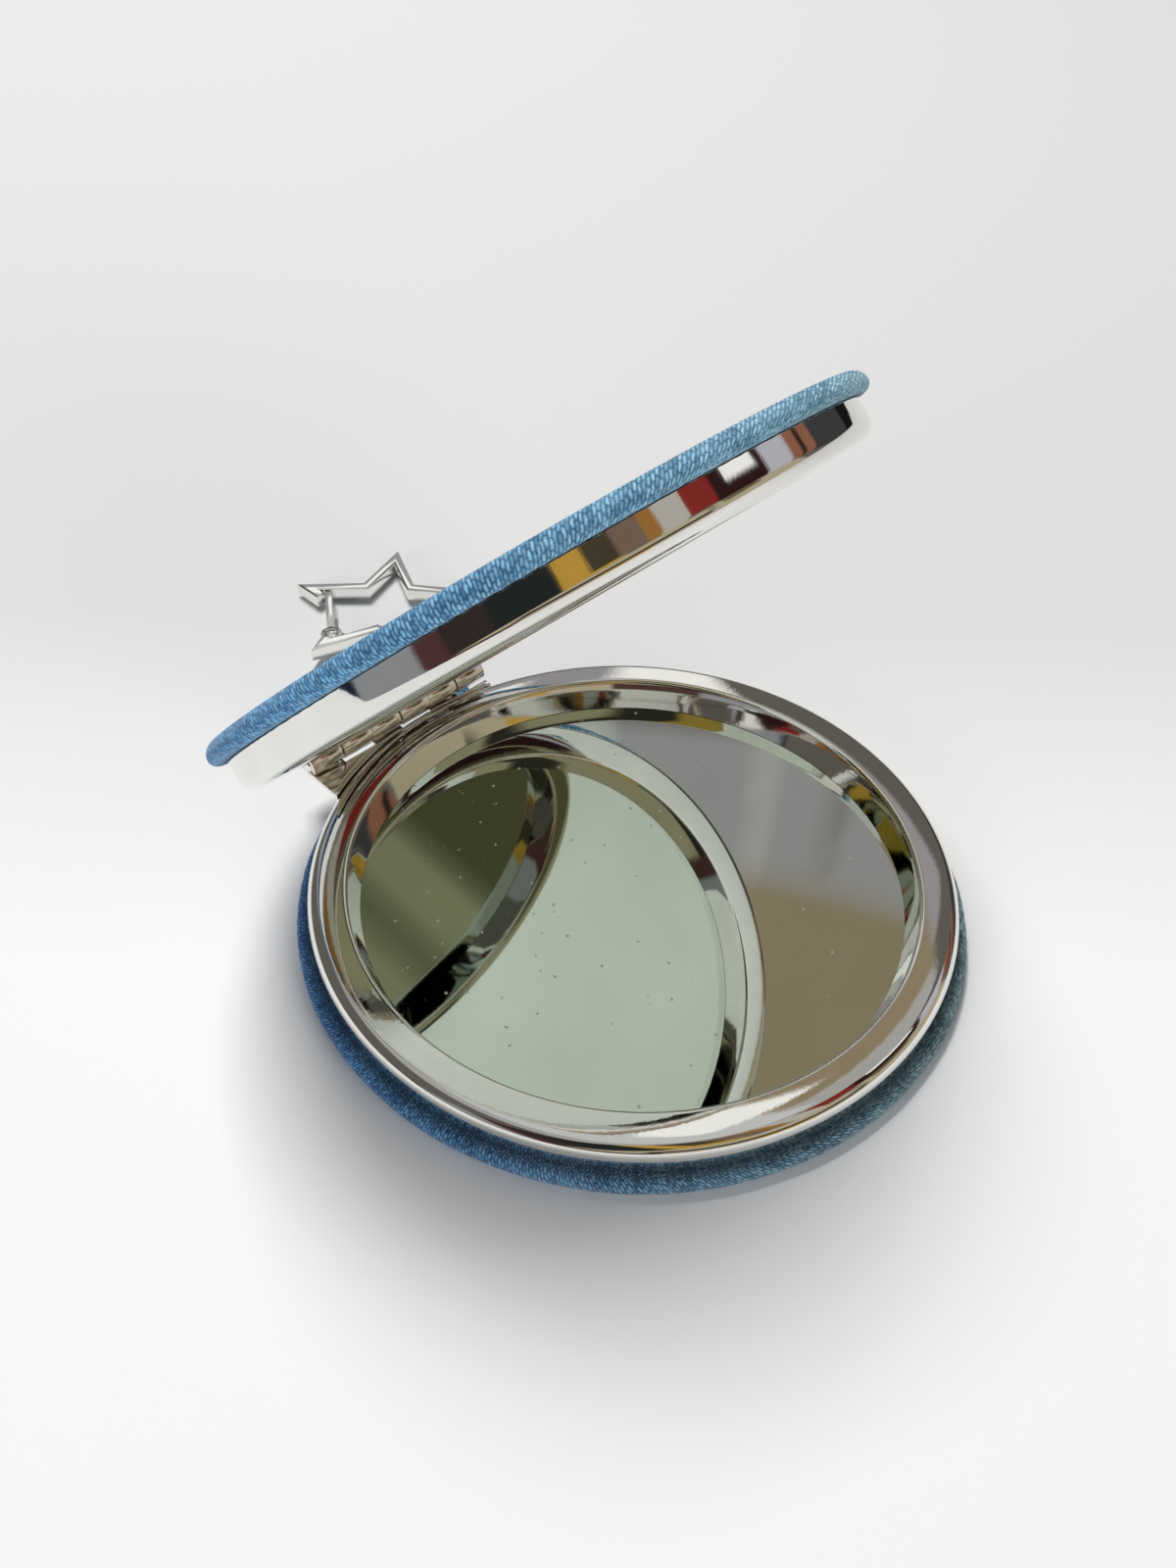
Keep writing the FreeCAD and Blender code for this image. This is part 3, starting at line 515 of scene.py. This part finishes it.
def drawn_cloth(crown):
    """Moves for the denim's points: the face's crown, slow swells round the edge and gathers at the hem."""
    bend = COVER_RADIUS - COVER_CORNER

    def shape(angle, radius, height):
        out = np.clip((radius - FRAME_RADIUS) / (COVER_RADIUS - FRAME_RADIUS), 0, 1)
        hem = out * np.clip((height - FABRIC) / (COVER_TOP - FABRIC), 0, 1)
        swell = 0.5 * np.sin(5 * angle + 1) + 0.3 * np.sin(11 * angle + 2) + 0.2 * np.sin(23 * angle)
        gather = np.sin(GATHERS * angle + 2.5 * np.sin(7 * angle) + 1.5 * np.sin(17 * angle))
        face = np.clip(1 - (radius / bend) ** 2, 0, 1) ** 1.5 * (height <= FABRIC)
        moved = radius + SWELL_DEPTH * out * (swell - 1) + GATHER_DEPTH * hem * (gather - 1) / 2
        return moved, height - crown * face - GATHER_DEPTH * hem * (1 + gather) / 2

    return shape


def over_the_edge(point):
    """Cloth laid flat: out from the middle along the face and on round the edge."""
    radius = math.hypot(point.x, point.y)
    bend = COVER_RADIUS - COVER_CORNER
    if radius > bend:
        turn = math.atan2(radius - bend, max(COVER_CORNER - point.z, 0))
        reach = bend + COVER_CORNER * turn + max(point.z - COVER_CORNER, 0)
        if point.z > COVER_TOP - COVER_SHOULDER:
            reach += COVER_RADIUS - radius
    else:
        reach = radius + max(point.z, 0)
    return (point.x / radius * reach, point.y / radius * reach) if radius else (0, 0)


def mark_fold_shade(made, place):
    """Attribute for painted shade: 1 in the crease where the cloth goes in under the ring, and 0 on the
    outside.
    """
    layer = made.data.attributes.new("FoldShade", "FLOAT", "POINT")
    back = place.inverted()
    for vertex in made.data.vertices:
        point = back @ vertex.co / MM
        inward = (COVER_RADIUS - FOLD_SHADE_START - math.hypot(point.x, point.y)) / FOLD_SHADE_REACH
        layer.data[vertex.index].value = min(max(inward, 0), 1) if point.z > COVER_CORNER else 0


def strap_slit(made):
    """Cuts the slit that the loop goes in by."""
    wide = STRAP_WIDTH + 2 * SLIT_ROOM
    low = STRAP_TOP - 2 * STRAP_CLOTH - STRAP_PLY_GAP - SLIT_ROOM
    size = Vector((wide, COVER_RADIUS - HEM_INNER + 2 * FABRIC, HEM_TOP)) * MM
    corner = Vector((-wide / 2, HEM_INNER - FABRIC, low)) * MM
    work = bmesh.new()
    bmesh.ops.create_cube(work, size=1)
    box = bpy.data.meshes.new("slit")
    work.to_mesh(box)
    work.free()
    box.transform(STRAP_PLACE @ Matrix.Translation(corner + size / 2) @ Matrix.Diagonal((*size, 1)))
    cutter = placed("slit", box)
    cut = made.modifiers.new("slit", "BOOLEAN")
    cut.object = cutter
    cut.operation = "DIFFERENCE"
    bake_modifiers(made)
    bpy.data.objects.remove(cutter)


for half, place, plate, cloth, crown in (
    ("base", Matrix(), BASE_PLATE, SHADED_DENIM, 0.0),
    ("lid", LID_PLACE, LID_PLATE, LIT_DENIM, LID_CROWN),
):
    ring = turned(f"{half}_ring", ring_outline(), True, place, RING_TURNS)
    sharpen(ring, 40)
    finish(ring, plate)
    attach(ring, half)
    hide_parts(f"{half}_frame")

    cover = turned(f"{half}_denim", cover_outline(), False, place, COVER_TURNS, drawn_cloth(crown))
    weave_map(cover, place, over_the_edge)
    mark_fold_shade(cover, place)
    if half == "base":
        strap_slit(cover)
    sharpen(cover, 60)
    finish(cover, cloth)
    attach(cover, half)
    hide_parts(f"{half}_cover")

    finish(nodes[f"{half}_mirror"], GLASS)
    finish(nodes[f"{half}_mirror_tape"], TAPE)
    finish(nodes[f"{half}_padding"], WADDING)
    finish(nodes[f"{half}_tray"], TRAY_STEEL)
    finish(nodes[f"{half}_magnet"], TRAY_STEEL)


# hinge and star, with softened edges


def polished(node, body, finish_material, edge):
    """A solid of the frame with its edges rounded a little, so that they catch the light."""
    made = placed(f"{node}_polished", nodes[node].data.copy())
    work = bmesh.new()
    work.from_mesh(made.data)
    bmesh.ops.remove_doubles(work, verts=work.verts, dist=1e-6)
    bmesh.ops.dissolve_limit(work, angle_limit=math.radians(0.5), verts=work.verts, edges=work.edges)
    work.to_mesh(made.data)
    work.free()
    rounding = made.modifiers.new("edges", "BEVEL")
    rounding.width = edge * MM
    rounding.segments = 2
    rounding.limit_method = "ANGLE"
    rounding.angle_limit = math.radians(32)
    bake_modifiers(made)
    made.data.shade_smooth()
    sharpen(made, 35)
    finish(made, finish_material)
    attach(made, body)
    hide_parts(node)


for node, body, plate, edge in (
    ("base_hinge_leaf", "base", HINGE_PLATE, 0.05),
    ("lid_hinge_leaf", "lid", HINGE_PLATE, 0.05),
    ("hinge_pin", "base", HINGE_PLATE, 0.04),
    ("star_frame", "clip", STAR_PLATE, 0.06),
    ("gate_rivet", "clip", STAR_PLATE, 0.04),
    ("star_gate", "gate", STAR_PLATE, 0.06),
):
    polished(node, body, plate, edge)


def bent_spring():
    """The hairpin spring: a copy of its solid, in tray steel, that stays as it is."""
    made = placed("gate_spring_wire", nodes["gate_spring"].data.copy())
    finish(made, TRAY_STEEL)
    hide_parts("gate_spring")
    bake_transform(made)


bent_spring()


# the denim loop


def loop_path():
    """Middle line of the folded strip, from under the ring out round the eye and back, in (reach, height)."""
    half = STRAP_CLOTH / 2
    low = STRAP_TOP - 2 * STRAP_CLOTH - STRAP_PLY_GAP + half
    eye = STRAP_EYE_RADIUS + half
    eye_height = STRAP_REST + half + eye
    points = [(STRAP_ROOT, low), (STRAP_MOUTH, low), (STRAP_LANDING, STRAP_REST + half)]
    for step in range(13):
        turn = math.pi * (step / 12 - 0.5)
        points.append((STRAP_EYE + eye * math.cos(turn), eye_height + eye * math.sin(turn)))
    points += [(STRAP_HUMP, STRAP_HUMP_TOP - half), (STRAP_RISE, STRAP_TOP - STRAP_DIP - half)]
    points += [(STRAP_MOUTH, STRAP_TOP - half), (STRAP_ROOT, STRAP_TOP - half)]
    near, far = 0.85, 0.15      # each corner is cut off this far along its two runs, three times over
    for _ in range(3):
        softer = [points[0]]
        for (ax, ay), (bx, by) in zip(points, points[1:]):
            softer.append((ax * near + bx * far, ay * near + by * far))
            softer.append((ax * far + bx * near, ay * far + by * near))
        points = softer + [points[-1]]
    return points


def even_steps(points, step):
    """The same line with points at even steps."""
    line = np.array(points)
    gone = np.concatenate([[0], np.cumsum(np.linalg.norm(np.diff(line, axis=0), axis=1))])
    marks = np.linspace(0, gone[-1], int(gone[-1] / step))
    return np.stack([np.interp(marks, gone, line[:, 0]), np.interp(marks, gone, line[:, 1])], axis=1), marks


def strip_section():
    """Section of the strip as (across, up): flat faces and rounded turned-in edges."""
    half_wide, half_thick, corner = STRAP_WIDTH / 2, STRAP_CLOTH / 2, STRAP_CORNER
    points = []
    for centre_x, centre_y, first in ((1, 1, 0), (-1, 1, 90), (-1, -1, 180), (1, -1, 270)):
        for step in range(5):
            turn = math.radians(first + 22.5 * step)
            points.append((
                centre_x * (half_wide - corner) + corner * math.cos(turn),
                centre_y * (half_thick - corner) + corner * math.sin(turn),
            ))
    return points


def strap():
    """The loop's strip with its weave, and its middle line and the line's directions."""
    path, marks = even_steps(loop_path(), STRAP_STEP)
    tangents = np.gradient(path, axis=0)
    tangents /= np.linalg.norm(tangents, axis=1)[:, None]
    section = strip_section()
    vertices, cloth = [], []
    for (reach, height), (run, rise), gone in zip(path, tangents, marks):
        for across, up in section:
            vertices.append((across, reach - rise * up, height + run * up))
            cloth.append((gone, across))
    count = len(section)
    faces = []
    for row in range(len(path) - 1):
        for index in range(count):
            after = (index + 1) % count
            here, there = row * count, (row + 1) * count
            faces.append((here + index, here + after, there + after, there + index))
    faces.append(tuple(range(count)))
    faces.append(tuple(range((len(path) - 1) * count, len(path) * count)))
    made = mesh_object("denim_loop", vertices, faces, STRAP_PLACE)
    layer = made.data.uv_layers.new(name="Weave")
    for loop in made.data.loops:
        layer.data[loop.index].uv = cloth[loop.vertex_index]
    sharpen(made, 60)
    finish(made, SHADED_DENIM)
    return made, path, tangents


def along_strap(reach, height, across=0.0):
    """A point of the loop's own plane, in the part's frame."""
    return STRAP_PLACE @ (Vector((across, reach, height)) * MM)


loop, loop_line, loop_tangents = strap()
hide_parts("charm_strap")
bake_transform(loop)


def stitch_tree():
    """Node tree that sets a short thread at even steps along a line."""
    tree = bpy.data.node_groups.new("stitch row", "GeometryNodeTree")
    face = tree.interface
    face.new_socket("Line", in_out="INPUT", socket_type="NodeSocketGeometry")
    for name, value in (("Pitch", 0.9 * MM), ("Thread length", 0.62 * MM), ("Thread radius", 0.1 * MM)):
        face.new_socket(name, in_out="INPUT", socket_type="NodeSocketFloat").default_value = value
    face.new_socket("Thread", in_out="INPUT", socket_type="NodeSocketMaterial")
    face.new_socket("Stitches", in_out="OUTPUT", socket_type="NodeSocketGeometry")
    given = add(tree, "NodeGroupInput").outputs
    line = add(tree, "GeometryNodeMeshToCurve", {"Mesh": given["Line"]}).outputs["Curve"]
    marks = add(tree, "GeometryNodeCurveToPoints", {"Curve": line, "Length": given["Pitch"]}, mode="LENGTH")
    ball = add(tree, "GeometryNodeMeshUVSphere", {"Segments": 8, "Rings": 6, "Radius": 1.0}).outputs["Mesh"]
    stretch = add(tree, "ShaderNodeCombineXYZ", {
        "X": given["Thread radius"], "Y": given["Thread radius"],
        "Z": calc(tree, "MULTIPLY", given["Thread length"], 0.5),
    }).outputs[0]
    thread = add(tree, "GeometryNodeTransform", {"Geometry": ball, "Scale": stretch}).outputs["Geometry"]
    lie = add(tree, "FunctionNodeAlignRotationToVector", {"Vector": marks.outputs["Tangent"]}, axis="Z")
    row = add(tree, "GeometryNodeInstanceOnPoints", {
        "Points": marks.outputs["Points"], "Instance": thread, "Rotation": lie.outputs[0],
    }).outputs["Instances"]
    real = add(tree, "GeometryNodeRealizeInstances", {"Geometry": row}).outputs["Geometry"]
    smooth = add(tree, "GeometryNodeSetShadeSmooth", {"Geometry": real}).outputs["Geometry"]
    done = add(tree, "GeometryNodeSetMaterial", {"Geometry": smooth, "Material": given["Thread"]})
    add(tree, "NodeGroupOutput", {"Stitches": done.outputs["Geometry"]})
    return tree


def stitch_rows():
    """Two rows of stitches along the outside of the loop, clear of the table it lies on."""
    proud = STRAP_CLOTH / 2 + STITCH_LIFT
    inset = STRAP_WIDTH / 2 - STITCH_INSET
    lines = bpy.data.meshes.new("stitch lines")
    vertices, edges, shown = [], [], []
    for (reach, height), (run, rise) in zip(loop_line, loop_tangents):
        outside = (reach + rise * proud, height - run * proud)
        if reach > STRAP_MOUTH + STITCH_START and outside[1] > STRAP_EYE_RADIUS:
            shown.append(outside)
    for side in (-inset, inset):
        first = len(vertices)
        vertices += [along_strap(*outside, side) for outside in shown]
        edges += [(first + step, first + step + 1) for step in range(len(shown) - 1)]
    lines.from_pydata(vertices, edges, [])
    made = placed("loop_stitches", lines)
    rows = made.modifiers.new("stitches", "NODES")
    rows.node_group = stitch_tree()
    for item in rows.node_group.interface.items_tree:
        if item.name == "Thread":
            rows[item.identifier] = THREAD
    bake_modifiers(made)
    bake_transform(made)


stitch_rows()


# floor, light and camera


PALE = (0.79, 0.79, 0.78)       # backdrop, and what the floor fades to far off


def seen_rays(tree):
    """1 for rays from the camera and for those that metal and glass send on, 0 for light on the object."""
    path = add(tree, "ShaderNodeLightPath").outputs
    straight = calc(tree, "MAXIMUM", path["Is Camera Ray"], path["Is Glossy Ray"])
    return calc(tree, "MAXIMUM", straight, path["Is Transmission Ray"])


def pale_floor():
    """Wide pale floor, a shade greyer behind the object, that fades into the backdrop far off."""
    half_side, drop = 1.6, 0.02 * MM
    mesh = bpy.data.meshes.new("floor")
    corners = [(x * half_side, y * half_side, -drop) for x, y in ((-1, -1), (1, -1), (1, 1), (-1, 1))]
    mesh.from_pydata(corners, [], [(0, 1, 2, 3)])
    made = placed("floor", mesh)
    surface, tree, shader = material("pale floor")
    place = object_place(tree)
    behind = add(tree, "ShaderNodeVectorMath", {0: place, 1: (0.707, 0.707, 0.0)}, operation="DOT_PRODUCT")
    depth = add(tree, "ShaderNodeMapRange", {
        "Value": behind.outputs["Value"], "From Min": -0.01, "From Max": 0.05,
    }).outputs["Result"]
    feed(tree, shader, {
        "Base Color": ramp(tree, depth, [(0.0, (0.92,) * 3), (1.0, (0.74,) * 3)]),
        "Roughness": 0.8, "Specular IOR Level": 0.1,
    })
    reach = add(tree, "ShaderNodeVectorMath", {0: place}, operation="LENGTH").outputs["Value"]
    far = add(tree, "ShaderNodeMapRange", {
        "Value": reach, "From Min": 0.34, "From Max": 0.80,
    }, interpolation_type="SMOOTHSTEP").outputs["Result"]
    glow = add(tree, "ShaderNodeEmission", {"Color": (*PALE, 1), "Strength": 1.0}).outputs[0]
    share = calc(tree, "MULTIPLY", far, seen_rays(tree))
    blend = add(tree, "ShaderNodeMixShader", {"Fac": share, 1: shader.outputs[0], 2: glow}).outputs[0]
    tree.links.new(blend, tree.nodes["Material Output"].inputs["Surface"])
    finish(made, surface)


# glowing cards round the set that only bright metal and glass see, as painted reflections and highlights:
# bearing from +X and height in degrees, and tone; a later card hangs in front of an earlier one
ROOM_CARDS = [
    ((-180, 180), (0, 48), (0.130, 0.122, 0.110)),
    ((-180, 180), (48, 66), (0.42, 0.42, 0.40)),
    ((-180, 180), (66, 90), (0.60, 0.61, 0.61)),
    ((-155, -30), (0, 33), (0.46, 0.40, 0.28)),
    ((-130, -66), (8, 17), (0.045, 0.040, 0.032)),
    ((-165, -126), (0, 8), (0.080, 0.042, 0.034)),
    ((-101, -84), (0, 8), (0.50, 0.32, 0.070)),
    ((-67, -65), (19, 33), (0.25, 0.22, 0.15)),
    ((-61, -46), (19, 33), (0.14, 0.12, 0.07)),
    ((12, 44), (40, 47), (0.34, 0.32, 0.34)),
    ((33, 34), (40, 47), (0.46, 0.43, 0.43)),
    ((28, 29), (40, 46), (0.22, 0.19, 0.18)),
    ((8, 44), (47, 66), (0.30, 0.24, 0.155)),
    ((16, 37), (60, 74), (1.0, 1.0, 0.97)),
    ((44, 90), (20, 40), (0.32, 0.31, 0.33)),
    ((44, 90), (40, 66), (0.50, 0.51, 0.48)),
    ((36, 44), (20, 39), (1.0, 1.0, 0.97)),
    ((51, 66), (30, 43), (0.98, 0.98, 0.96)),
]

# the same in bearings and heights level with the open lid, whose wall mirrors them
LID_CARDS = [
    ((158, 175), (-14, 15), (0.012, 0.018, 0.036)),
    ((175, 180), (-14, 15), (0.28, 0.29, 0.31)),
    ((-180, -163), (-14, 15), (0.28, 0.29, 0.31)),
    ((-163, -154), (-14, 15), (0.085, 0.036, 0.038)),
    ((-154, -139), (-14, 15), (0.034, 0.026, 0.024)),
    ((-139, -118), (-14, 15), (0.018, 0.023, 0.022)),
    ((-118, -109), (-16, 15), (0.52, 0.31, 0.055)),
    ((-109, -98), (-16, -5), (0.45, 0.28, 0.050)),
    ((-109, -100), (-5, 15), (0.065, 0.052, 0.032)),
    ((-100, -91), (-8, 15), (0.19, 0.13, 0.095)),
    ((-91, -86), (-12, 15), (0.34, 0.16, 0.040)),
    ((-86, -77), (-14, 15), (0.48, 0.46, 0.42)),
    ((-77, -67), (-6, 15), (0.24, 0.026, 0.022)),
    ((-67, -47), (-8, 15), (0.030, 0.012, 0.012)),
    ((-62, -50), (7, 15), (1.0, 1.0, 0.98)),
    ((-47, -36), (-8, 15), (0.50, 0.50, 0.56)),
    ((-36, -24), (-8, 15), (0.28, 0.12, 0.075)),
    ((-31, -29), (-8, 15), (0.020, 0.015, 0.015)),
    ((-24, -3), (-10, 15), (0.050, 0.050, 0.052)),
    ((-3, 15), (-10, 15), (0.009, 0.009, 0.010)),
    ((15, 60), (-10, 15), (0.33, 0.29, 0.31)),
]


def hang_cards(cards, ways, tones):
    """Gives each direction the tone of the last card that lies there."""
    bearings = np.degrees(np.arctan2(ways[:, 1], ways[:, 0]))
    heights = np.degrees(np.arcsin(np.clip(ways[:, 2], -1, 1)))
    for (left, right), (low, high), shade in cards:
        tones[(bearings >= left) & (bearings <= right) & (heights >= low) & (heights <= high)] = shade


def room_screen():
    """Glowing dome of soft-edged cards in the tones of a room, for painted reflections alone."""
    radius, step = 0.6, 1
    bearings, heights = np.arange(-180, 180, step), np.arange(0, 91, step)
    level_with_lid = np.array(Matrix.Rotation(LID_ANGLE, 3, "X"))
    turn, rise = (np.radians(a).ravel() for a in np.meshgrid(bearings, heights))
    tones = np.zeros((len(turn), 4))
    aside = np.radians([-0.4, 0.0, 0.4]) * step
    for over, up in ((a, b) for a in aside for b in aside):
        ways = toward(turn + over, rise + up)
        shades = np.tile(ROOM_CARDS[0][2], (len(turn), 1))
        hang_cards(ROOM_CARDS, ways, shades)
        hang_cards(LID_CARDS, ways @ level_with_lid.T, shades)
        tones[:, :3] += shades / len(aside) ** 2
    tones[:, 3] = 1
    row = len(bearings)
    faces = []
    for level in range(len(heights) - 1):
        for index in range(row):
            after = (index + 1) % row
            here = level * row
            faces.append((here + index, here + after, here + row + after, here + row + index))
    mesh = bpy.data.meshes.new("room_screen")
    mesh.from_pydata(radius * toward(turn, rise), [], faces)
    layer = mesh.color_attributes.new("Tone", "FLOAT_COLOR", "POINT")
    layer.data.foreach_set("color", tones.ravel())
    made = placed("room_screen", mesh)
    surface, tree, shader = material("room screen")
    tree.nodes.remove(shader)
    colour = add(tree, "ShaderNodeVertexColor", layer_name="Tone").outputs["Color"]
    glow = add(tree, "ShaderNodeEmission", {"Color": colour, "Strength": 1.0}).outputs[0]
    tree.links.new(glow, tree.nodes["Material Output"].inputs["Surface"])
    finish(made, surface)
    made.visible_camera = False
    made.visible_diffuse = False
    made.visible_shadow = False


def softbox(name, bearing, height, distance, size, power, colour):
    """Square lamp aimed at the object from a bearing and height, in degrees, that reflections don't show."""
    lamp = bpy.data.lights.new(name, "AREA")
    lamp.shape = "SQUARE"
    lamp.size = size
    lamp.energy = power
    lamp.color = colour
    made = placed(name, lamp)
    way = Vector(toward(math.radians(bearing), math.radians(height)))
    made.location = way * distance
    made.rotation_euler = way.to_track_quat("Z", "Y").to_euler()
    made.visible_glossy = False


def studio():
    """Even soft light with one large lamp from behind and two low fills in front."""
    world = bpy.data.worlds.new("studio")
    bpy.context.scene.world = world
    world.use_nodes = True
    tree = world.node_tree
    sky = tree.nodes["Background"]
    soft_light = (0.120, 0.122, 0.125)
    tree.links.new(mixed(tree, seen_rays(tree), soft_light, PALE), sky.inputs["Color"])
    softbox("key", bearing=68, height=62, distance=1.3, size=0.46, power=14.8, colour=(1.0, 0.995, 0.98))
    low = {"height": 16, "distance": 0.9, "size": 0.40}
    softbox("left fill", bearing=-170, power=2.4, colour=(0.96, 0.98, 1.0), **low)
    softbox("right fill", bearing=-95, power=2.2, colour=(1.0, 0.99, 0.97), **low)


def camera():
    """Camera at the photograph's place: bearing, height, distance, roll and lens from its fit."""
    azimuth, elevation, roll = (math.radians(a) for a in (-45.43, 44.32, 1.7))
    distance, aside, upward = 158.02, -5.2, 9.16        # millimetres
    middle_height = 5.45
    back = Vector(toward(azimuth - math.pi / 2, elevation))
    right = (-back).cross(Vector((0, 0, 1))).normalized()
    up = right.cross(-back)
    place = (right * aside + up * upward + back * distance + Vector((0, 0, middle_height))) * MM
    across = right * math.cos(roll) + up * math.sin(roll)
    over = up * math.cos(roll) - right * math.sin(roll)
    lens = bpy.data.cameras.new("camera")
    lens.sensor_width = 36
    lens.lens = 33.52
    lens.clip_start = 0.005
    made = placed("camera", lens)
    turn = Matrix((across, over, back)).transposed().to_4x4()
    made.matrix_world = Matrix.Translation(place) @ turn
    bpy.context.scene.camera = made


pale_floor()
room_screen()
studio()
camera()
bpy.context.scene.view_settings.view_transform = "Standard"
